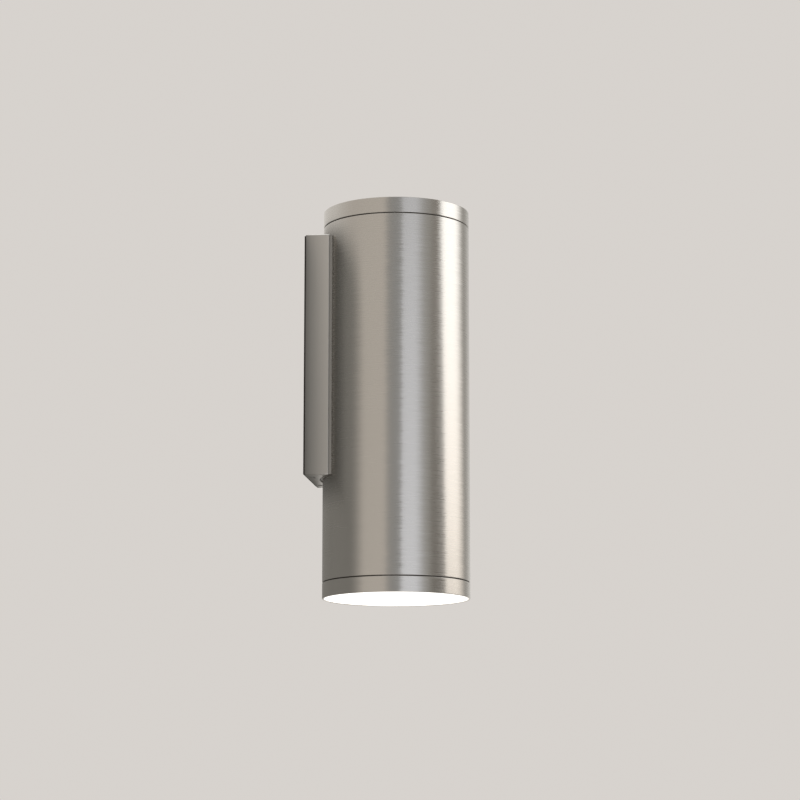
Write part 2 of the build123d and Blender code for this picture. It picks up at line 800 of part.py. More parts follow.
# Earth terminal: a ring with a crimped barrel, screwed to the tray.
barrel_top = earth_height - earth_ring_radius + earth_ring_thickness
barrel_bottom = barrel_top - earth_barrel_length
barrel_depth = tray_front + earth_barrel_radius
with BuildPart() as earth_ring:
    with BuildSketch(Plane.XZ.offset(tray_front)):
        with Locations((0, earth_height)):
            Circle(earth_ring_radius)
            Circle(small_screw_radius + hole_gap, mode=Mode.SUBTRACT)
    extrude(amount=earth_ring_thickness)
    with BuildSketch(Plane.XY.offset(barrel_top)):
        with Locations((0, -barrel_depth)):
            Circle(earth_barrel_radius)
    extrude(amount=-earth_barrel_length)
    with BuildSketch(Plane.XY.offset(barrel_bottom)):
        with Locations((0, -barrel_depth)):
            Circle(mains_wire_radius + fit_gap)
    extrude(amount=earth_barrel_length / 2, mode=Mode.SUBTRACT)
finish(earth_ring, "earth_ring")

earth_bolt = screw(
    small_screw_radius,
    earth_ring_thickness + tray_thickness,
    small_head_radius,
    small_head_height,
    small_socket,
)
with BuildPart() as earth_screw:
    with Locations(Location((0, -tray_front - earth_ring_thickness, earth_height), (90, 0, 0))):
        add(earth_bolt)
finish(earth_screw, "earth_screw")

# ---------------------------------------------------------------- wires held inside the tube

# Live and neutral go from the block to the driver, each in a slight forward bow.
supply_start = terminal_bottom + wire_grip
supply_depths = (
    terminal_centre_depth,
    terminal_centre_depth,
    terminal_centre_depth + mains_wire_bow,
    terminal_centre_depth + mains_wire_bow,
    terminal_centre_depth,
    terminal_centre_depth,
)
supply_drop = (supply_start - driver_top) / (len(supply_depths) - 1)
for wire_name, across in (("live_wire", pole_pitch), ("neutral_wire", -pole_pitch)):
    route = [
        (across, -depth, supply_start - step * supply_drop) for step, depth in enumerate(supply_depths)
    ]
    with BuildPart() as supply_wire:
        with BuildLine() as supply_path:
            FilletPolyline(*route, radius=corner_radii(route))
        with BuildSketch(Plane(route[0], z_dir=(0, 0, -1))):
            Circle(mains_wire_radius)
        sweep(path=supply_path.line)
    finish(supply_wire, wire_name)

# Earth goes from the block's middle pole up into the ring's barrel.
earth_start = terminal_top - wire_grip
earth_end = barrel_bottom + earth_barrel_length / 2 - fit_gap
earth_third = (earth_end - earth_start) / 3
earth_route = [
    (0, -terminal_centre_depth, earth_start),
    (0, -terminal_centre_depth, earth_start + earth_third),
    (0, -barrel_depth, earth_end - earth_third),
    (0, -barrel_depth, earth_end),
]
with BuildPart() as earth_wire:
    with BuildLine() as earth_path:
        FilletPolyline(*earth_route, radius=corner_radii(earth_route))
    with BuildSketch(Plane(earth_route[0], z_dir=(0, 0, 1))):
        Circle(mains_wire_radius)
    sweep(path=earth_path.line)
finish(earth_wire, "earth_wire")

# LED leads go from the driver down between two fins, through the board, to its connector.
lead_drop = (driver_bottom - sink_top) / 3
for lead_name, side in (("led_lead_positive", 1), ("led_lead_negative", -1)):
    near = side * led_wire_spread
    lead_route = [
        (near + side * led_wire_bow, -lead_depth, driver_bottom),
        (near + side * led_wire_bow, -lead_depth, driver_bottom - lead_drop),
        (near, -lead_depth, driver_bottom - 2 * lead_drop),
        (near, -lead_depth, board_bottom),
    ]
    with BuildPart() as led_lead:
        with BuildLine() as lead_path:
            FilletPolyline(*lead_route, radius=corner_radii(lead_route))
        with BuildSketch(Plane(lead_route[0], z_dir=(0, 0, -1))):
            Circle(led_wire_radius)
        sweep(path=lead_path.line)
    finish(led_lead, lead_name)
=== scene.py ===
# %% [markdown]
# # A tube wall light in brushed steel
# The light is a steel tube on a slim bracket. A cap closes its top, and an opal disc glows in the ring at
# its bottom. The pieces come from a CAD model at their real size, in metres. This lesson gives them their
# finish, remakes the turned pieces with fine, smooth walls, and lights them as a photographer would.

# %% Load the CAD pieces
import json
from math import cos, pi, radians, sin, tan

import bmesh
import bpy
from mathutils import Matrix, Vector


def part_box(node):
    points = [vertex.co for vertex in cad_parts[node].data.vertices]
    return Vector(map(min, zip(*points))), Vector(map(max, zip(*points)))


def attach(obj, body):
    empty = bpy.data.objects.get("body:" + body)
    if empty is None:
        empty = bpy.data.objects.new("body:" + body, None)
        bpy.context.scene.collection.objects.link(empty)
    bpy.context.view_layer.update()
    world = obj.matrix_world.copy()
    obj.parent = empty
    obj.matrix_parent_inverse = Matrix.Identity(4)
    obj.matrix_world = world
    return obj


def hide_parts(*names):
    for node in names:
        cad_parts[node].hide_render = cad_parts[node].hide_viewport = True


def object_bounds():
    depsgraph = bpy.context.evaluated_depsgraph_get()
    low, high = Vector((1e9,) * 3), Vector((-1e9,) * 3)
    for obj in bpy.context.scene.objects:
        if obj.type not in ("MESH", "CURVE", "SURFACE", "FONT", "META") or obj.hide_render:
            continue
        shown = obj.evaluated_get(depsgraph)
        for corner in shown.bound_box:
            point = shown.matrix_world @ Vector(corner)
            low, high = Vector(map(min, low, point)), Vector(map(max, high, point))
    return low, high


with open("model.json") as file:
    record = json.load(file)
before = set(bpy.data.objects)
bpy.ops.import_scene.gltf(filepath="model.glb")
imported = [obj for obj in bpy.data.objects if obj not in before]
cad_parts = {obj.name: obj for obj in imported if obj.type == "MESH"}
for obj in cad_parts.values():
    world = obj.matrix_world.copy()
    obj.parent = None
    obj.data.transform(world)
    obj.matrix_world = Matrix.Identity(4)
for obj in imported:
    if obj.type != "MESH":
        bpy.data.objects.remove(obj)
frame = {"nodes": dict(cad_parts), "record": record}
cad_low, cad_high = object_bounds()
mm = 0.001
box_mm = [round(side / mm, 1) for side in cad_high - cad_low]
print(len(frame["nodes"]), "pieces in a box of", box_mm, "mm")

# %% [markdown]
# ## The camera
# The picture is taken with a long lens, from a little below and almost square to the bracket's left side.
# A long lens keeps the tube's sides nearly parallel. The lens, place and direction below were found by
# matching the tube's rims and the bracket's corners.

# %% Camera
camera_place = Vector((-1.9703, -0.3030, -0.3875))
camera_direction = Vector((0.97741, 0.11572, 0.17684))
lens_mm = 118.05
sight_limit = 200.0


def in_scene(name, data):
    """A new object that holds the data."""
    thing = bpy.data.objects.new(name, data)
    bpy.context.scene.collection.objects.link(thing)
    return thing


camera = in_scene("camera", bpy.data.cameras.new("camera"))
camera.data.lens = lens_mm
camera.data.clip_end = sight_limit
camera.location = camera_place
camera.rotation_euler = camera_direction.to_track_quat("-Z", "Y").to_euler()
bpy.context.scene.camera = camera
bpy.context.scene.view_settings.view_transform = "Standard"
print("camera", round((camera_place - (cad_low + cad_high) / 2).length, 2), "m from the light")

# %% [markdown]
# ## Sizes read from the frame
# Every turned piece shares one axis, the tube's. The axis, the tube's radius and the heights at which each
# piece ends are read from the CAD pieces, so that the new walls end where the old ones did. A size that no
# box shows, such as a wall's thickness, is repeated from the CAD further down, in millimetres.

# %% Axis and radius
decimals = 5

tube_low, tube_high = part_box("tube_body")
ring_low, ring_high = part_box("bezel_ring")
cap_low, cap_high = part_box("top_cap")
bracket_low, bracket_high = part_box("bracket_shell")
tube_radius = round((tube_high.x - tube_low.x) / 2, decimals)
axis_y = round((cap_low.y + cap_high.y) / 2, decimals)
axis_centre = (0, axis_y, 0)
print("tube radius", tube_radius, "m, axis", -axis_y, "m from the bracket's back")

# %% [markdown]
# ## Node arithmetic
# Nodes are easier to read as formulas. `Term` wraps one socket, and each operator on it adds a Math node.
# `Nodes.add` makes any other node: its kind, then its settings, then the values or links of its sockets.
# `Finish` knows the nodes that materials need again and again.

# %% Term, Nodes and Finish
noise_middle = 0.5
new_stop_place = 0.5


class Term:
    """One number in a node tree, with Python's operators."""

    def __init__(self, nodes, socket):
        self.nodes, self.socket = nodes, socket

    def __add__(self, other):
        return self.nodes.maths("ADD", self, other)

    def __radd__(self, other):
        return self.nodes.maths("ADD", other, self)

    def __sub__(self, other):
        return self.nodes.maths("SUBTRACT", self, other)

    def __rsub__(self, other):
        return self.nodes.maths("SUBTRACT", other, self)

    def __mul__(self, other):
        return self.nodes.maths("MULTIPLY", self, other)

    def __truediv__(self, other):
        return self.nodes.maths("DIVIDE", self, other)

    def __gt__(self, other):
        return self.nodes.maths("GREATER_THAN", self, other)

    def __lt__(self, other):
        return self.nodes.maths("LESS_THAN", self, other)

    def sway(self, amount, middle=noise_middle):
        """How far the number is from its middle, times amount."""
        return (self - middle) * amount


class Nodes:
    """A node tree under construction."""

    def __init__(self, tree):
        self.tree = tree

    def add(self, kind, settings=None, sockets=None):
        node = self.tree.nodes.new(kind)
        for name, value in (settings or {}).items():
            setattr(node, name, value)
        for name, value in (sockets or {}).items():
            value = value.socket if isinstance(value, Term) else value
            if isinstance(value, bpy.types.NodeSocket):
                self.tree.links.new(value, node.inputs[name])
            else:
                node.inputs[name].default_value = value
        return node

    def term(self, kind, settings=None, sockets=None):
        """A node's first output, as a number."""
        return Term(self, self.add(kind, settings, sockets).outputs[0])

    def maths(self, operation, *values):
        """A Math node on one or two numbers."""
        return self.term("ShaderNodeMath", {"operation": operation}, dict(enumerate(values)))

    def parts(self, vector):
        """A vector's three numbers."""
        return [Term(self, socket) for socket in self.add("ShaderNodeSeparateXYZ", None, {0: vector}).outputs]


def opaque(colour):
    """A colour of three parts with full alpha. A socket stays as it is."""
    return (*colour, 1) if isinstance(colour, tuple) else colour


class Finish(Nodes):
    """The node tree of a material or of the world."""

    def __init__(self, owner):
        owner.use_nodes = True
        super().__init__(owner.node_tree)
        self.owner = owner
        self.tree.nodes.clear()

    def place(self):
        """The point being shaded, in the piece's own coordinates."""
        return self.add("ShaderNodeTexCoord").outputs["Object"]

    def normal(self):
        """The direction that the surface faces."""
        return self.add("ShaderNodeNewGeometry").outputs["Normal"]

    def vector(self, operation, first, second=(0, 0, 0), scale=1.0):
        """A Vector Math node. Only SCALE reads the last value."""
        sockets = {0: first, 1: second, 3: scale}
        return self.add("ShaderNodeVectorMath", {"operation": operation}, sockets).outputs[0]

    def stretched(self, scale, centre=(0, 0, 0)):
        """The point, moved so that centre is at 0 and then multiplied by scale, along each axis or all."""
        scales = scale if isinstance(scale, tuple) else (scale, scale, scale)
        return self.vector("MULTIPLY", self.vector("SUBTRACT", self.place(), centre), scales)

    def axis_distance(self):
        """How far the point is from the tube's axis."""
        across, depth, _ = self.parts(self.stretched(1.0, axis_centre))
        return self.maths("SQRT", across * across + depth * depth)

    def noise(self, scale, detail=2.0, centre=(0, 0, 0)):
        """Noise from 0 to 1. Its scale is in features per metre, along each axis or all."""
        sockets = {"Vector": self.stretched(scale, centre), "Scale": 1.0, "Detail": detail}
        return self.term("ShaderNodeTexNoise", None, sockets)

    def ramp(self, value, stops):
        """A colour that follows a number from 0 to 1."""
        node = self.add("ShaderNodeValToRGB", None, {"Fac": value})
        elements = node.color_ramp.elements
        for _ in stops[len(elements):]:
            elements.new(new_stop_place)
        for element, (place, colour) in zip(elements, stops):
            element.position = place
            element.color = opaque(colour)
        return node.outputs[0]

    def fade(self, value, start, end):
        """0 up to start, 1 from end on, and a soft change between."""
        sockets = {"Value": value, "From Min": start, "From Max": end}
        return self.term("ShaderNodeMapRange", {"interpolation_type": "SMOOTHSTEP"}, sockets)

    def blend(self, share, first, second, kind="MIX"):
        """Two colours mixed: share 0 is the first, 1 the second."""
        sockets = {0: share, 6: opaque(first), 7: opaque(second)}
        return self.add("ShaderNodeMix", {"data_type": "RGBA", "blend_type": kind}, sockets).outputs[2]

    def bump(self, height, depth, strength):
        """Relief from a height between 0 and 1, with its depth in metres."""
        sockets = {"Height": height, "Distance": depth, "Strength": strength}
        return self.add("ShaderNodeBump", None, sockets).outputs[0]

    def finished(self, shader, kind="ShaderNodeOutputMaterial"):
        """The tree's last node, which ends its making."""
        self.add(kind, None, {0: shader.outputs[0]})
        return self.owner

    def surface(self, sockets):
        """The finished surface, as one Principled BSDF."""
        return self.finished(self.add("ShaderNodeBsdfPrincipled", None, sockets))

    def glow(self, colour, shown=None):
        """A finish that only glows. Where shown is 0 it is clear, and where it is 1 it glows in full."""
        shader = self.add("ShaderNodeEmission", None, {"Color": opaque(colour), "Strength": 1.0})
        if shown is not None:
            clear = self.add("ShaderNodeBsdfTransparent")
            sockets = {0: shown, 1: clear.outputs[0], 2: shader.outputs[0]}
            shader = self.add("ShaderNodeMixShader", None, sockets)
        return self.finished(shader)


def new_finish(name):
    return Finish(bpy.data.materials.new(name))


print("node helpers ready")

# %% [markdown]
# ## Brushed steel, turned
# The tube and its end rings are polished on a lathe with an abrasive belt, so fine scratches run round
# them. Such scratches spread a reflection up and down, across their run, and hardly to the sides. That is
# why lamps and screens show as tall bands. The shader does the same with an anisotropic highlight: the
# roughness is high along the tube and low round it. Blender's own tangent for a piece with no UV map
# already runs round the middle of the piece, so a quarter turn of the anisotropy is all that is needed.
#
# Each scratch is also turned a little to the left or right, which frays the edges of the bands into fine
# lines. A bump would tilt the scratches up and down instead, so the normal is turned directly: a share of
# the direction round the axis is added. The cap's lid is faced on the same lathe, so its scratches are
# rings, one inside the other, and they turn further.

# %% Brushed steel round the tube
steel_light = (0.605, 0.585, 0.555)
steel_dark = (0.595, 0.575, 0.545)
steel_roughness = 0.28
lid_extra_roughness = 0.05
scratch_roughness = 0.07
cloud_roughness = 0.05
fine_scratches = (34.0, 34.0, 2000.0)
coarse_scratches = (26.0, 26.0, 1000.0)
coarse_share = 0.55
lid_rings_per_metre = 1100.0
steel_clouds = (9.0, 9.0, 5.0)
scratch_detail = 1.0
scratch_turn = 0.09
lid_extra_turn = 0.14
faced_above = 0.5
brush_stretch = 0.92
quarter_turn = 0.25


def turned_steel():
    finish = new_finish("turned_steel")
    fine = finish.noise(fine_scratches, scratch_detail, axis_centre)
    coarse = finish.noise(coarse_scratches, scratch_detail, axis_centre)
    across_lid = {"W": finish.axis_distance() * lid_rings_per_metre, "Scale": 1.0, "Detail": 2.0}
    rings = finish.term("ShaderNodeTexNoise", {"noise_dimensions": "1D"}, across_lid)
    cloud = finish.noise(steel_clouds, centre=axis_centre)
    normal = finish.normal()
    upright = finish.parts(normal)[2]
    faced = upright * upright > faced_above
    lines = (fine * (1.0 - coarse_share) + coarse * coarse_share) * (1.0 - faced) + rings * faced
    from_axis = finish.stretched((1.0, 1.0, 0.0), axis_centre)
    round_axis = finish.vector("NORMALIZE", finish.vector("CROSS_PRODUCT", (0.0, 0.0, 1.0), from_axis))
    turn = finish.vector("SCALE", round_axis, scale=lines.sway(scratch_turn + faced * lid_extra_turn))
    uneven = fine.sway(scratch_roughness) + cloud.sway(cloud_roughness) + faced * lid_extra_roughness
    return finish.surface({
        "Base Color": finish.blend(lines, steel_dark, steel_light),
        "Metallic": 1.0,
        "Roughness": steel_roughness + uneven,
        "Anisotropic": brush_stretch,
        "Anisotropic Rotation": quarter_turn,
        "Normal": finish.vector("NORMALIZE", finish.vector("ADD", normal, turn)),
    })


steel_turned = turned_steel()
print("made", steel_turned.name)

# %% [markdown]
# ## Brushed steel, flat
# The bracket is pressed from sheet with a finer, duller brush along its length. Its sides carry painted
# shade that darkens them towards their back, and painted light that makes them lighter upwards. The
# rounded edge round its top carries a painted highlight. Its normals lean between level and upright, and
# that is how the shader finds it.

# %% Brushed steel sheet
# Base tones from the back of the sides to their front: the darker back is painted shade.
sheet_tones_shaded_to_back = [
    (0.00, (0.40, 0.386, 0.364)),
    (0.25, (0.49, 0.473, 0.446)),
    (1.00, (0.61, 0.590, 0.558)),
]
sheet_lines = (2200.0, 2200.0, 26.0)
sheet_clouds = (30.0, 30.0, 12.0)
sheet_roughness = 0.34
sheet_line_roughness = 0.10
sheet_cloud_roughness = 0.08
line_contrast = 0.07
line_depth = 0.02 * mm
line_relief = 0.4
# How much lighter the sides get towards the top: painted light.
painted_light_rise = 0.16
# Colour of the painted highlight on the bracket's rounded top edge.
painted_edge_highlight = (0.98, 0.965, 0.94)
edge_begins = (0.05, 0.40)
edge_ends = (0.90, 0.99)


def sheet_steel():
    finish = new_finish("sheet_steel")
    lines = finish.noise(sheet_lines)
    cloud = finish.noise(sheet_clouds)
    _, depth, height = finish.parts(finish.place())
    # Painted shade: the sides darken towards the bracket's back.
    tone = finish.ramp(depth / bracket_low.y, sheet_tones_shaded_to_back)
    # Painted light: the sides grow lighter towards the top, multiplied with the real brush lines.
    upwards = finish.fade(height, bracket_low.z, bracket_high.z)
    lines_and_painted_light = (lines * line_contrast + (1.0 - line_contrast)) * (upwards * painted_light_rise + 1.0)
    upright = finish.parts(finish.normal())[2]
    # Painted highlight on the rounded top edge, where the normal leans between level and upright.
    painted_highlight_mask = finish.fade(upright, *edge_begins) * (1.0 - finish.fade(upright, *edge_ends))
    return finish.surface({
        "Base Color": finish.blend(painted_highlight_mask, finish.blend(1.0, tone, lines_and_painted_light, "MULTIPLY"), painted_edge_highlight),
        "Metallic": 1.0,
        "Roughness": sheet_roughness + lines.sway(sheet_line_roughness) + cloud.sway(sheet_cloud_roughness),
        "Normal": finish.bump(lines, line_depth, line_relief),
    })


steel_sheet = sheet_steel()
print("made", steel_sheet.name)

# %% [markdown]
# ## Other metals
# Hidden metal is plainer, and each kind still has its own look: zinc plating has soft crystals, stainless
# screws and brass are turned, aluminium rings are turned too, and the heat sink is drawn through a die,
# which leaves lines along its fins. A row of the table is a name, a dark and a light colour, the grain per
# metre along each axis or all, the roughness and its spread. One finish also has deeper grain, round the
# tube's axis.

# %% Zinc, stainless, brass and aluminium
zinc_crystals = 260.0
zinc_light = (0.66, 0.68, 0.71)
zinc_dark = (0.54, 0.56, 0.59)
zinc_roughness = 0.36
zinc_clouds = 60.0
zinc_cloud_roughness = 0.1
crystal_middle = 0.4
crystal_roughness = 0.16
crystal_relief = 0.3
metal_clouds = 35.0
metal_cloud_roughness = 0.08
grain_detail = 3.0
grain_depth = 0.01 * mm
grain_relief = 0.5
metal_table = {
    "steel_fixings": ("stainless", (0.50, 0.50, 0.49), (0.64, 0.63, 0.62), 900.0, 0.30, 0.12),
    "nipple_brass": ("brass", (0.72, 0.55, 0.26), (0.83, 0.67, 0.36), (90.0, 1500.0, 90.0), 0.26, 0.14),
    "turned_aluminium": (
        "turned_aluminium", (0.70, 0.71, 0.72), (0.80, 0.80, 0.80), (12.0, 12.0, 2400.0), 0.30, 0.14,
        0.02 * mm, axis_centre,
    ),
    "sink_aluminium": (
        "drawn_aluminium", (0.60, 0.61, 0.62), (0.72, 0.72, 0.73), (1500.0, 1500.0, 15.0), 0.38, 0.12,
    ),
    "tinned_copper": ("tinned_copper", (0.66, 0.65, 0.62), (0.78, 0.77, 0.74), 500.0, 0.30, 0.16),
}


def metal(name, dark, light, scale, roughness, spread, depth=grain_depth, centre=(0, 0, 0)):
    """A bare metal whose lines or crystals come from stretched noise."""
    finish = new_finish(name)
    grain = finish.noise(scale, grain_detail, centre)
    cloud = finish.noise(metal_clouds)
    return finish.surface({
        "Base Color": finish.blend(grain, dark, light),
        "Metallic": 1.0,
        "Roughness": roughness + grain.sway(spread) + cloud.sway(metal_cloud_roughness),
        "Normal": finish.bump(grain, depth, grain_relief),
    })


def zinc_plate():
    finish = new_finish("zinc_plate")
    sockets = {"Vector": finish.stretched(zinc_crystals), "Scale": 1.0}
    tone = finish.term("ShaderNodeTexVoronoi", {"feature": "F1"}, sockets)
    cloud = finish.noise(zinc_clouds)
    uneven = tone.sway(crystal_roughness, crystal_middle) + cloud.sway(zinc_cloud_roughness)
    return finish.surface({
        "Base Color": finish.blend(tone, zinc_light, zinc_dark),
        "Metallic": 1.0,
        "Roughness": zinc_roughness + uneven,
        "Normal": finish.bump(tone, grain_depth, crystal_relief),
    })


metals = {slot: metal(*row) for slot, row in metal_table.items()}
metals["zinc_plated_steel"] = zinc_plate()
print(len(metals), "bare metals")

# %% [markdown]
# ## Rubber, plastic and paint
# Seals and mouldings aren't metal, so their colour is their own. A fine grain breaks the shine up, and a
# slow cloud of colour keeps large faces from looking flat. A row of the table is a name, a dark and a light
# colour, the grain per metre, the roughness, the depth of the grain, and the strength of a clear coat if it
# has one.

# %% Moulded and coated pieces
moulded_clouds = 40.0
grain_roughness = 0.2
coat_roughness = 0.15
moulding_table = {
    "black_rubber": ("black_rubber", (0.018, 0.012, 0.008), (0.032, 0.022, 0.015), 1800.0, 0.70, 0.04 * mm),
    "grey_silicone": (
        "grey_silicone", (0.235, 0.228, 0.212), (0.265, 0.257, 0.240), 1500.0, 0.55, 0.01 * mm,
    ),
    "white_silicone": ("white_silicone", (0.74, 0.74, 0.72), (0.80, 0.80, 0.79), 1500.0, 0.50, 0.03 * mm),
    "thermal_silicone": (
        "thermal_silicone", (0.33, 0.37, 0.44), (0.40, 0.44, 0.50), 2200.0, 0.70, 0.03 * mm,
    ),
    "white_reflector": (
        "white_reflector", (0.88, 0.88, 0.87), (0.92, 0.92, 0.91), 900.0, 0.30, 0.01 * mm, 0.3,
    ),
    "board_white": ("solder_mask", (0.84, 0.84, 0.83), (0.90, 0.90, 0.89), 1200.0, 0.32, 0.02 * mm, 0.4),
    "phosphor_yellow": ("phosphor", (0.83, 0.66, 0.20), (0.90, 0.76, 0.30), 2500.0, 0.28, 0.02 * mm, 0.5),
    "connector_white": (
        "connector_nylon", (0.80, 0.79, 0.74), (0.85, 0.84, 0.80), 1600.0, 0.42, 0.02 * mm,
    ),
    "driver_white": ("driver_case", (0.74, 0.74, 0.72), (0.80, 0.80, 0.78), 1300.0, 0.50, 0.04 * mm),
    "terminal_nylon": ("terminal_nylon", (0.76, 0.75, 0.70), (0.82, 0.81, 0.77), 1400.0, 0.45, 0.03 * mm),
    "brown_insulation": ("brown_pvc", (0.15, 0.065, 0.03), (0.20, 0.09, 0.04), 1500.0, 0.35, 0.01 * mm, 0.2),
    "blue_insulation": ("blue_pvc", (0.03, 0.11, 0.42), (0.04, 0.14, 0.50), 1500.0, 0.35, 0.01 * mm, 0.2),
    "red_insulation": ("red_pvc", (0.45, 0.02, 0.02), (0.55, 0.03, 0.03), 1500.0, 0.35, 0.01 * mm, 0.2),
    "black_insulation": ("black_pvc", (0.02, 0.02, 0.02), (0.03, 0.03, 0.03), 1500.0, 0.35, 0.01 * mm, 0.2),
}


def moulded(name, dark, light, grain_per_metre, roughness, depth, coat=0.0):
    """Rubber, plastic or paint: a fine grain in the surface, and a slow change of tone."""
    finish = new_finish(name)
    grain = finish.noise(grain_per_metre, grain_detail)
    cloud = finish.noise(moulded_clouds)
    return finish.surface({
        "Base Color": finish.blend(cloud, dark, light),
        "Roughness": roughness + grain.sway(grain_roughness),
        "Coat Weight": coat,
        "Coat Roughness": coat_roughness,
        "Normal": finish.bump(grain, depth, grain_relief),
    })


mouldings = {slot: moulded(*row) for slot, row in moulding_table.items()}
print(len(mouldings), "moulded or coated finishes")

# %% [markdown]
# ## Earth wire
# An earth wire is green with yellow stripes. The wire stands in the plane where X is 0, so a stripe is the
# part of it close to that plane.

# %% Striped insulation
earth_green = (0.03, 0.30, 0.06)
earth_yellow = (0.75, 0.62, 0.04)
stripe_half_width = 0.5 * mm
pvc_grain = 1500.0
pvc_roughness = 0.35
pvc_spread = 0.15
pvc_coat = 0.2


def striped_insulation():
    finish = new_finish("green_yellow_pvc")
    across = finish.parts(finish.place())[0]
    grain = finish.noise(pvc_grain)
    stripe = (across > -stripe_half_width) * (across < stripe_half_width)
    return finish.surface({
        "Base Color": finish.blend(stripe, earth_green, earth_yellow),
        "Roughness": pvc_roughness + grain.sway(pvc_spread),
        "Coat Weight": pvc_coat,
    })


mouldings["green_yellow_insulation"] = striped_insulation()
print("made green_yellow_pvc")

# %% [markdown]
# ## The opal disc
# Opal acrylic scatters the light of the LEDs behind it, so the disc glows evenly and its rim is only a
# little dimmer. Emission makes the glow. It is kept just above white, so that the disc reads as lit.

# %% Opal acrylic
opal_colour = (0.86, 0.85, 0.83)
opal_glow = [
    (0.00, (1.00, 0.985, 0.955)),
    (0.90, (1.00, 0.975, 0.935)),
    (1.00, (0.93, 0.885, 0.820)),
]
opal_grain = 1200.0
opal_roughness = 0.28
opal_spread = 0.08
glow_strength = 1.15


def opal():
    finish = new_finish("opal_acrylic")
    grain = finish.noise(opal_grain)
    return finish.surface({
        "Base Color": opaque(opal_colour),
        "Roughness": opal_roughness + grain.sway(opal_spread),
        "Emission Color": finish.ramp(finish.axis_distance() / tube_radius, opal_glow),
        "Emission Strength": glow_strength,
    })


opal_lit = opal()
print("made", opal_lit.name)

# %% [markdown]
# ## Give every CAD piece its finish
# The record names a material slot for each piece, so one table dresses them all.

# %% Dress the CAD pieces
finishes = {**metals, **mouldings, "opal_diffuser": opal_lit, "brushed_steel_shell": steel_turned}
for entry in frame["record"]["subparts"]:
    mesh = frame["nodes"][entry["node"]].data
    mesh.materials.clear()
    mesh.materials.append(finishes[entry["material_slot"]])

# %% [markdown]
# ## A lathe in Geometry Nodes
# The tube, the ring and the cap are turned: one outline goes round one axis. The CAD mesh has few facets,
# which a mirror-like metal would show, so these pieces are turned again with 256. The tree below takes a
# line of points as its outline, lays a grid of that many rows, and bends it round the axis. Merge by
# Distance closes the seam and the poles. Edges sharper than a limit stay crisp, and the rest is smooth.

# %% The lathe's tree
lathe_segments = 256
fewest_rows = 8
crisp_above = radians(40)
weld_distance = 0.002 * mm


def lathe_tree():
    tree = bpy.data.node_groups.new("lathe", "GeometryNodeTree")
    face = tree.interface
    face.new_socket("Outline", in_out="INPUT", socket_type="NodeSocketGeometry")
    for name, kind, default in (
        ("Segments", "NodeSocketInt", lathe_segments),
        ("Rows", "NodeSocketInt", fewest_rows),
        ("Axis Y", "NodeSocketFloat", 0.0),
        ("Sharp Above", "NodeSocketFloat", crisp_above),
    ):
        face.new_socket(name, in_out="INPUT", socket_type=kind).default_value = default
    face.new_socket("Finish", in_out="INPUT", socket_type="NodeSocketMaterial")
    face.new_socket("Piece", in_out="OUTPUT", socket_type="NodeSocketGeometry")

    nodes = Nodes(tree)
    given = nodes.add("NodeGroupInput").outputs
    segments, rows, axis = (Term(nodes, given[name]) for name in ("Segments", "Rows", "Axis Y"))
    size = {"Size X": 1.0, "Size Y": 1.0, "Vertices X": segments + 1.0, "Vertices Y": rows}
    grid = nodes.add("GeometryNodeMeshGrid", None, size)
    index = nodes.term("GeometryNodeInputIndex")
    column = nodes.maths("FLOOR", (index + 0.5) / rows)
    turn = column / segments * (2 * pi)
    outline = nodes.add(
        "GeometryNodeSampleIndex",
        {"data_type": "FLOAT_VECTOR", "domain": "POINT"},
        {0: given["Outline"], 1: nodes.add("GeometryNodeInputPosition").outputs[0], 2: index - column * rows},
    )
    radius, _, height = nodes.parts(outline.outputs[0])
    across = radius * nodes.maths("COSINE", turn)
    deep = radius * nodes.maths("SINE", turn) + axis
    place = nodes.add("ShaderNodeCombineXYZ", None, {0: across, 1: deep, 2: height}).outputs[0]
    bent = nodes.add("GeometryNodeSetPosition", None, {"Geometry": grid.outputs["Mesh"], "Position": place})
    welding = {"Geometry": bent.outputs[0], "Distance": weld_distance}
    merged = nodes.add("GeometryNodeMergeByDistance", None, welding)
    softening = {"Geometry": merged.outputs[0], "Shade Smooth": True}
    smooth = nodes.add("GeometryNodeSetShadeSmooth", {"domain": "FACE"}, softening)
    angle = nodes.add("GeometryNodeInputMeshEdgeAngle").outputs["Unsigned Angle"]
    sharp = nodes.add(
        "FunctionNodeCompare",
        {"data_type": "FLOAT", "operation": "GREATER_THAN"},
        {0: angle, 1: given["Sharp Above"]},
    )
    crisp = nodes.add(
        "GeometryNodeSetShadeSmooth",
        {"domain": "EDGE"},
        {"Geometry": smooth.outputs[0], "Selection": sharp.outputs[0], "Shade Smooth": False},
    )
    real = nodes.add("GeometryNodeRealizeInstances", None, {0: crisp.outputs[0]})
    dressing = {"Geometry": real.outputs[0], "Material": given["Finish"]}
    dressed = nodes.add("GeometryNodeSetMaterial", None, dressing)
    nodes.add("NodeGroupOutput", None, {"Piece": dressed.outputs[0]})
    return tree


lathe = lathe_tree()
print("lathe tree of", len(lathe.nodes), "nodes")

# %% [markdown]
# ## Outlines with eased corners
# No outer corner is a knife edge. `eased` rounds each corner that has a radius with a short arc, and puts a
# point just before and after it. Those two points hold the long faces flat, so the soft shading stays in
# the corner.

# %% Round the corners of an outline
corner_steps = 4
hold_distance = 0.25 * mm


def eased(points):
    """Each point is (radius, height, corner radius)."""
    line = []
    for index, (across, up, bend) in enumerate(points):
        here = Vector((across, up))
        if bend == 0:
            line.append(here)
            continue
        before = (Vector(points[index - 1][:2]) - here).normalized()
        after = (Vector(points[(index + 1) % len(points)][:2]) - here).normalized()
        half = before.angle(after) / 2
        reach = bend / tan(half)
        middle = here + (before + after).normalized() * (bend / sin(half))
        start, end = here + before * reach, here + after * reach
        line.append(start + before * hold_distance)
        for step in range(corner_steps + 1):
            spoke = (start - middle).lerp(end - middle, step / corner_steps)
            line.append(middle + spoke.normalized() * bend)
        line.append(end + after * hold_distance)
    return line


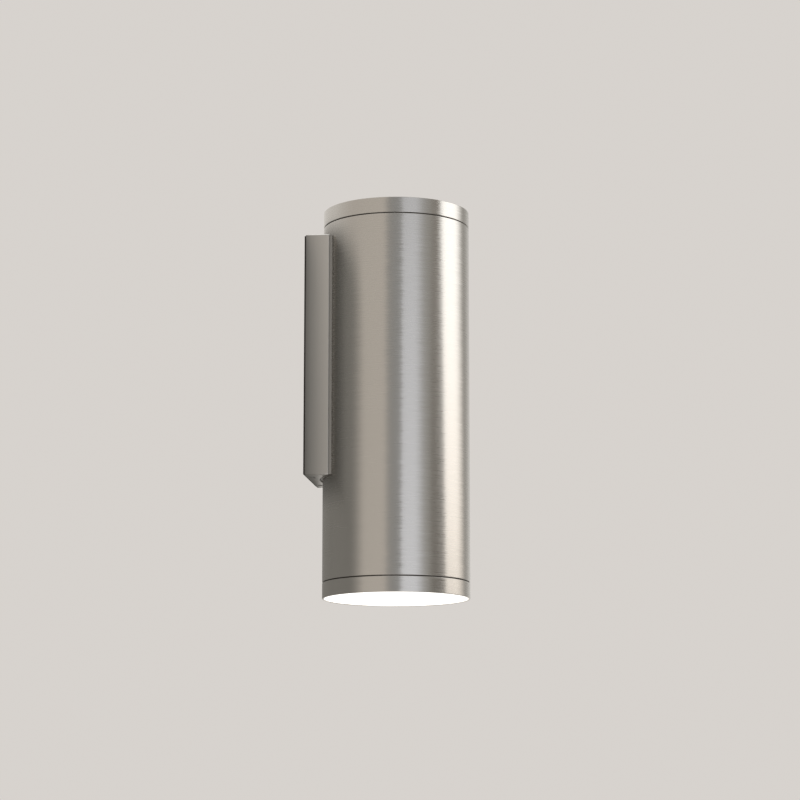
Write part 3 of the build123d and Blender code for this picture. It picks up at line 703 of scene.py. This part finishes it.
def settled(source, name):
    """The evaluated piece as a plain mesh with its normals outwards. The maker object goes."""
    bpy.context.view_layer.update()
    evaluated = source.evaluated_get(bpy.context.evaluated_depsgraph_get())
    mesh = bpy.data.meshes.new_from_object(evaluated)
    mesh.name = name
    bpy.data.objects.remove(source)
    shape = bmesh.new()
    shape.from_mesh(mesh)
    bmesh.ops.recalc_face_normals(shape, faces=shape.faces)
    shape.to_mesh(mesh)
    shape.free()
    return in_scene(name, mesh)


def turned(name, points, finish):
    """A piece turned from a closed outline. The outline runs so that the material is on its left."""
    line = eased(points)
    line.append(line[0])
    mesh = bpy.data.meshes.new(name + "_outline")
    mesh.from_pydata([(p.x, 0, p.y) for p in line], [(i, i + 1) for i in range(len(line) - 1)], [])
    source = in_scene(name + "_outline", mesh)
    modifier = source.modifiers.new("lathe", "NODES")
    modifier.node_group = lathe
    sockets = {item.name: item.identifier for item in lathe.interface.items_tree if item.in_out == "INPUT"}
    modifier[sockets["Rows"]] = len(line)
    modifier[sockets["Axis Y"]] = axis_y
    modifier[sockets["Sharp Above"]] = crisp_above
    modifier[sockets["Finish"]] = finish
    return settled(source, name)


def stand_for(piece, body, slot, *nodes):
    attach(piece, body)
    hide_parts(*nodes)
    print(piece.name, len(piece.data.polygons), "faces for", ", ".join(nodes))


# %% [markdown]
# ## The tube
# A plain pipe: an outer wall, an inner wall and two ends. Its outer corners are broken by a third of a
# millimetre, and they catch the light beside the dark gaps. The inner ones are broken by half as much.
# Behind the bracket its wall has three drilled holes, two for the bolts and one for the cable. Two extra
# rows in the outline, just inside the bracket's height, keep the shading that changes round the holes
# behind the bracket.

# %% Turn the tube
outer_ease = 0.30 * mm
inner_ease = 0.15 * mm
inner_radius = tube_radius - 1.5 * mm
bolt_height = 76 * mm
bolt_hole = 3.3 * mm
cable_hole = 5.3 * mm
tube_holes = [(-bolt_height, bolt_hole), (0.0, cable_hole), (bolt_height, bolt_hole)]
drill_length = 20 * mm
drill_sides = 48
covered = bracket_high.z - 2 * mm


def drilled(piece, holes):
    """Round holes through the rear wall, each given by its height and radius."""
    drills = bmesh.new()
    for height, radius in holes:
        place = Matrix.Translation((0, tube_high.y, height)) @ Matrix.Rotation(pi / 2, 4, "X")
        place = place @ Matrix.Rotation(pi / drill_sides, 4, "Z")
        size = {"segments": drill_sides, "radius1": radius, "radius2": radius, "depth": drill_length}
        bmesh.ops.create_cone(drills, cap_ends=True, matrix=place, **size)
    mesh = bpy.data.meshes.new("drills")
    drills.to_mesh(mesh)
    drills.free()
    cutter = in_scene("drills", mesh)
    cut = piece.modifiers.new("holes", "BOOLEAN")
    cut.object = cutter
    cut.operation = "DIFFERENCE"
    cut.solver = "EXACT"
    result = settled(piece, piece.name)
    bpy.data.objects.remove(cutter)
    shape = bmesh.new()
    shape.from_mesh(result.data)
    bmesh.ops.remove_doubles(shape, verts=shape.verts, dist=weld_distance)
    bmesh.ops.dissolve_degenerate(shape, edges=shape.edges, dist=weld_distance)
    for edge in shape.edges:
        edge.smooth = edge.calc_face_angle(0) < crisp_above
    shape.to_mesh(result.data)
    shape.free()
    return result


tube_outline = [
    (tube_radius, tube_low.z, outer_ease),
    (tube_radius, -covered, 0),
    (tube_radius, covered, 0),
    (tube_radius, tube_high.z, outer_ease),
    (inner_radius, tube_high.z, inner_ease),
    (inner_radius, covered, 0),
    (inner_radius, -covered, 0),
    (inner_radius, tube_low.z, inner_ease),
]
tube = drilled(turned("steel_tube", tube_outline, steel_turned), tube_holes)
stand_for(tube, "lamp_housing", "brushed_steel_shell", "tube_body")

# %% [markdown]
# ## Lower ring and top cap
# Both are turned from thick bar with the same outside: a band as wide as the tube, and behind it a narrower
# neck with thread ridges that screws into the tube. The ring is open and holds the opal disc on a step. The
# cap is closed by a lid.

# %% Turn the ring and the cap
band_height = 11.8 * mm
neck_start = 15.0 * mm
ridge_pitch = 2.0 * mm
ridge_count = 3
ridge_radius = 51.35 * mm
neck_radius = ridge_radius - 0.5 * mm
bore_radius = neck_radius - 1.5 * mm
seat_radius = tube_radius - 1.4 * mm
seat_depth = 3.9 * mm
lid_thickness = 2.5 * mm
neck_end = ring_high.z - ring_low.z


def ring_outside():
    """Radius and distance from the rim, from the rim's outer corner to the neck's bore."""
    line = [(tube_radius, 0.0, outer_ease), (tube_radius, band_height, outer_ease)]
    line.append((neck_radius, band_height, 0))
    for ridge in range(ridge_count):
        foot = neck_start + ridge * ridge_pitch
        line += [(neck_radius, foot, 0), (ridge_radius, foot + ridge_pitch / 2, 0)]
    return line + [(neck_radius, neck_end, 0), (bore_radius, neck_end, 0)]


ring_inside = [(bore_radius, seat_depth, 0), (seat_radius, seat_depth, 0), (seat_radius, 0.0, inner_ease)]
ring_line = [(r, ring_low.z + up, ease) for r, up, ease in ring_outside() + ring_inside]
lower_ring = turned("lower_ring", ring_line, steel_turned)
stand_for(lower_ring, "bezel", "brushed_steel_shell", "bezel_ring")

cap_inside = [(bore_radius, lid_thickness, 0), (0.0, lid_thickness, 0), (0.0, 0.0, 0)]
cap_line = [(r, cap_high.z - up, ease) for r, up, ease in ring_outside() + cap_inside]
upper_cap = turned("closed_cap", cap_line, steel_turned)
stand_for(upper_cap, "cap", "brushed_steel_shell", "top_cap")

# %% [markdown]
# ## The bracket
# The bracket's CAD mesh has the right shape. Its loose triangles are welded in a copy, and weighted normals
# then shade each flat side as flat and each rounded edge as round.

# %% Weld and shade a copy
sheet_crisp_above = radians(35)


def welded(node, name, finish):
    piece = in_scene(name, frame["nodes"][node].data.copy())
    piece.data.name = name
    shape = bmesh.new()
    shape.from_mesh(piece.data)
    bmesh.ops.remove_doubles(shape, verts=shape.verts, dist=weld_distance)
    for face in shape.faces:
        face.smooth = True
    for edge in shape.edges:
        edge.smooth = len(edge.link_faces) == 2 and edge.calc_face_angle(0) < sheet_crisp_above
    shape.to_mesh(piece.data)
    shape.free()
    weights = piece.modifiers.new("weights", "WEIGHTED_NORMAL")
    weights.keep_sharp = True
    weights.mode = "FACE_AREA"
    bpy.context.view_layer.update()
    mesh = bpy.data.meshes.new_from_object(piece.evaluated_get(bpy.context.evaluated_depsgraph_get()))
    piece.modifiers.clear()
    piece.data = mesh
    mesh.materials.clear()
    mesh.materials.append(finish)
    return piece


bracket = welded("bracket_shell", "bracket_cover", steel_sheet)
stand_for(bracket, "lamp_housing", "brushed_steel_shell", "bracket_shell")

# %% [markdown]
# ## The studio
# The world is plain pale grey, on every side. Polished metal would look flat in it, because such metal only
# shows its surroundings. A photographer stands tall screens of different greys round the piece, and so does
# this scene: a ring of screens that only reflections see. Seen from above, the ring is a dial, with 0
# degrees along +X and 90 degrees behind the bracket. A bright screen lies overhead.

# %% The plain world
backdrop_colour = (0.680, 0.648, 0.616)


def plain_world():
    world = bpy.data.worlds.new("plain_world")
    bpy.context.scene.world = world
    air = Finish(world)
    light = air.add("ShaderNodeBackground", None, {"Color": opaque(backdrop_colour), "Strength": 1.0})
    return air.finished(light, "ShaderNodeOutputWorld")


print("made", plain_world().name)

# %% Screens for the reflections
screen_dial = [
    (0, (0.74, 0.72, 0.69)),
    (12, (0.80, 0.77, 0.73)),
    (75, (0.80, 0.77, 0.73)),
    (92, (0.71, 0.675, 0.63)),
    (112, (0.635, 0.59, 0.54)),
    (145, (0.64, 0.595, 0.540)),
    (167, (0.65, 0.60, 0.545)),
    (176, (0.37, 0.36, 0.345)),
    (188, (0.345, 0.345, 0.34)),
    (222, (0.47, 0.47, 0.47)),
    (231, (0.46, 0.455, 0.445)),
    (241, (0.42, 0.41, 0.385)),
    (251, (0.34, 0.315, 0.285)),
    (300, (0.34, 0.32, 0.29)),
    (322, (0.41, 0.395, 0.37)),
    (342, (0.66, 0.645, 0.615)),
    (360, (0.74, 0.72, 0.69)),
]
full_turn = 360
screen_distance = 4.0
screen_half_height = 6.0
screen_count = 72
overhead_height = 5.0
overhead_radius = 3.2
overhead_colour = (0.98, 0.965, 0.94)


def dial_finish():
    finish = new_finish("screen_greys")
    east, north, _ = finish.parts(finish.stretched(1.0, axis_centre))
    turns = finish.maths("ARCTAN2", north, east) / (2 * pi)
    stops = [(angle / full_turn, colour) for angle, colour in screen_dial]
    return finish.glow(finish.ramp(finish.maths("FRACT", turns + 1.0), stops))


def reflection_card(name, corners, faces, finish):
    """A stage piece that only reflections see."""
    sheet = bpy.data.meshes.new(name)
    sheet.from_pydata(corners, [], faces)
    sheet.materials.append(finish)
    card = in_scene(name, sheet)
    card.visible_camera = card.visible_diffuse = card.visible_transmission = card.visible_shadow = False
    print(name, len(faces), "faces")


def circle(radius, height):
    turns = [2 * pi * step / screen_count for step in range(screen_count)]
    return [(radius * cos(turn), axis_y + radius * sin(turn), height) for turn in turns]


rims = circle(screen_distance, -screen_half_height) + circle(screen_distance, screen_half_height)
neighbours = [(i, (i + 1) % screen_count) for i in range(screen_count)]
ring_faces = [(i, j, j + screen_count, i + screen_count) for i, j in neighbours]
reflection_card("screens", rims, ring_faces, dial_finish())
overhead_face = [tuple(range(screen_count))]
overhead_glow = new_finish("overhead_screen").glow(overhead_colour)
reflection_card("overhead_screen", circle(overhead_radius, overhead_height), overhead_face, overhead_glow)

# %% [markdown]
# ## Two bright cards and a dim one
# Three cards stand nearer than the screens. Each has a few rows, and a row is its height and how far it
# reaches to the left and to the right, for a viewer who stands at the card and looks at the light.
#
# - The bright band on the tube is a window close by, in front and a little to the right. It leans, with its
#   foot further right, and the band leans with it. Its sill is level with the tube's lower end, so the band
#   fades on its way down.
# - A cooler, weaker card stands beside the camera. It glows more towards the floor, and so does its band.
# - A dim card stands between these two, a little further out than the window. It deepens the dark band
#   between the bright ones, more and more towards the tube's lower end.
#
# A hard edge would end a band too suddenly, so the bright cards fade out on their right, from a distance
# beside their middle to their edge. The dim card fades out on its left and towards its top.

# %% Window, fill card and shade card
window_bearing, window_distance = 285, 0.45
window_rows = [(-0.180, -0.147, 0.310), (0.25, -0.244, 0.220), (0.41, -0.249, 0.186)]
window_glow = ((1.72, 1.60, 1.47), (1.98, 1.98, 1.96))
window_soft_from = 0.01
fill_bearing, fill_distance = 210.3, 1.00
fill_rows = [(-1.00, -0.40, 0.48), (0.40, -0.235, 0.40)]
fill_glow = ((1.07, 1.10, 1.16), (0.93, 0.95, 1.01))
fill_soft_from = 0.06
shade_bearing, shade_distance = 250, 0.50
shade_rows = [(-0.60, -0.16, 0.35), (0.20, -0.16, 0.35)]
shade_tone = (0.20, 0.185, 0.165)
shade_full_from = -0.03
shade_fade_from = -0.05


def outwards(bearing):
    """The level direction of a bearing on the dial."""
    return Vector((cos(radians(bearing)), sin(radians(bearing)), 0))


def upright_card(name, bearing, distance, rows, look):
    """A card whose look is its colour, and how much of it is there, from the reach and the height."""
    out = outwards(bearing)
    right = Vector((-out.y, out.x, 0))
    middle = Vector(axis_centre) + out * distance
    corners = [middle + right * reach + Vector((0, 0, up)) for up, *sides in rows for reach in sides]
    faces = [(2 * i, 2 * i + 1, 2 * i + 3, 2 * i + 2) for i in range(len(rows) - 1)]
    finish = new_finish(name)
    east, north, up = finish.parts(finish.stretched(1.0, axis_centre))
    colour, shown = look(finish, east * right.x + north * right.y, up)
    reflection_card(name, corners, faces, finish.glow(colour, shown))


def bright_look(rows, glow, soft_from):
    """The glow changes from the foot to the second row, and the right side is soft up to its edge."""
    (foot, _, foot_edge), (head, _, head_edge) = rows[:2]
    lean = (head_edge - foot_edge) / (head - foot)

    def look(finish, reach, up):
        edge = (up - foot) * lean + foot_edge
        return finish.blend(finish.fade(up, foot, head), *glow), 1.0 - finish.fade(reach, soft_from, edge)

    return look


def shade_look(finish, reach, up):
    (_, left, _), (head, _, _) = shade_rows
    shown = finish.fade(reach, left, shade_full_from) * (1.0 - finish.fade(up, shade_fade_from, head))
    return shade_tone, shown


window_look = bright_look(window_rows, window_glow, window_soft_from)
upright_card("window", window_bearing, window_distance, window_rows, window_look)
fill_look = bright_look(fill_rows, fill_glow, fill_soft_from)
upright_card("fill_card", fill_bearing, fill_distance, fill_rows, fill_look)
upright_card("shade_card", shade_bearing, shade_distance, shade_rows, shade_look)

# %% [markdown]
# ## One soft lamp
# The world lights everything that isn't metal from all sides. One large lamp in front adds a soft direction
# to it. Reflections leave the lamp out, because the cards stand for it there.

# %% Soft lamp
lamp_bearing = 292
lamp_distance = 1.8
lamp_size = 1.2
lamp_height = 1.3
lamp_watts = 14.0
lamp_colour = (1.0, 0.985, 0.96)


def soft_lamp():
    lamp = bpy.data.lights.new("soft_lamp", "AREA")
    lamp.shape = "SQUARE"
    lamp.size = lamp_size
    lamp.energy = lamp_watts
    lamp.color = lamp_colour
    stand = in_scene("soft_lamp", lamp)
    stand.location = Vector((0, axis_y, lamp_height)) + outwards(lamp_bearing) * lamp_distance
    aim = Vector(axis_centre) - stand.location
    stand.rotation_euler = aim.to_track_quat("-Z", "Y").to_euler()
    stand.visible_camera = stand.visible_glossy = False
    return stand


print("soft lamp at", [round(v, 2) for v in soft_lamp().location])

# %% [markdown]
# ## The dark card beside the bracket
# A light of this kind hangs close to what it is fixed to, and shades the strip next to itself. The tube's
# edge reflects that strip as a dark band. Nothing stands behind the light here, so a dark card does the
# same, which only reflections see. It goes round the bracket and is darkest beside it. It ends in a soft
# rounded top, and fades out to the sides.

# %% Shadow card
card_tuck = 1.0 * mm
card_behind = 0.5 * mm
card_half_width = 112 * mm
card_bottom = -360 * mm
card_top = 120 * mm
card_tone = (0.245, 0.236, 0.218)
contact_tone = (0.125, 0.121, 0.112)
contact_width = 24 * mm
shadow_half_width = 71 * mm
shadow_shift = 12 * mm
shadow_shoulder = 25 * mm
shadow_rise = 78 * mm
shadow_soft_from = 0.65
shadow_soft_to = 1.35


def shadow_finish():
    finish = new_finish("shadow_card")
    across, _, up = finish.parts(finish.place())
    aside = (across + shadow_shift) * (across + shadow_shift) / shadow_half_width**2
    over = finish.maths("MAXIMUM", (up - shadow_shoulder) / shadow_rise, 0.0)
    from_middle = finish.maths("SQRT", aside + over * over * (over * over))
    shown = 1.0 - finish.fade(from_middle, shadow_soft_from, shadow_soft_to)
    beside = finish.maths("ABSOLUTE", across) - bracket_high.x
    below = finish.maths("ABSOLUTE", up) - bracket_high.z
    clear_of_bracket = finish.fade(finish.maths("MAXIMUM", beside, below), 0.0, contact_width)
    return finish.glow(finish.blend(clear_of_bracket, contact_tone, card_tone), shown)


def shadow_card():
    """One sheet just behind the bracket's back, with a hole that the bracket's outline covers."""
    inner = bracket_high.x - card_tuck
    foot, head = bracket_low.z + card_tuck, bracket_high.z - card_tuck
    corners, faces = [], []
    for x0, x1, z0, z1 in (
        (-card_half_width, -inner, foot, head),
        (inner, card_half_width, foot, head),
        (-card_half_width, card_half_width, card_bottom, foot),
        (-card_half_width, card_half_width, head, card_top),
    ):
        faces.append(tuple(range(len(corners), len(corners) + 4)))
        corners += [(x, card_behind, z) for x, z in ((x0, z0), (x1, z0), (x1, z1), (x0, z1))]
    reflection_card("shadow_card", corners, faces, shadow_finish())


shadow_card()

# %% [markdown]
# ## Floor
# The light hangs high above a plain pale floor, which catches its soft shadow. A floor returns only a share
# of the light that falls on it, so it would show darker than the world, with a hard horizon. A faint glow
# makes up for that share, and the floor melts into the world. Reflections leave the floor out and show the
# screens all the way down, which keeps the bands of the steel clear from every height.

# %% Floor
floor_height = -1.35
floor_half_width = 60.0
floor_returns = 0.80
floor_roughness = 0.85
floor_clouds = 0.8
floor_cloud_contrast = 0.03


def floor_finish():
    finish = new_finish("pale_floor")
    cloud = finish.noise(floor_clouds, grain_detail)
    return finish.surface({
        "Base Color": finish.fade(cloud, 0.0, 1.0) * floor_cloud_contrast + floor_returns,
        "Roughness": floor_roughness,
        "Specular IOR Level": 0.0,
        "Emission Color": (*[part * (1 - floor_returns) for part in backdrop_colour], 1),
        "Emission Strength": 1.0,
    })


floor_mesh = bpy.data.meshes.new("floor")
floor_signs = ((-1, -1), (1, -1), (1, 1), (-1, 1))
floor_corners = [(x * floor_half_width, y * floor_half_width, floor_height) for x, y in floor_signs]
floor_mesh.from_pydata(floor_corners, [], [(0, 1, 2, 3)])
floor_mesh.materials.append(floor_finish())
floor = in_scene("floor", floor_mesh)
floor.visible_glossy = False
print("floor at", floor_height, "m")
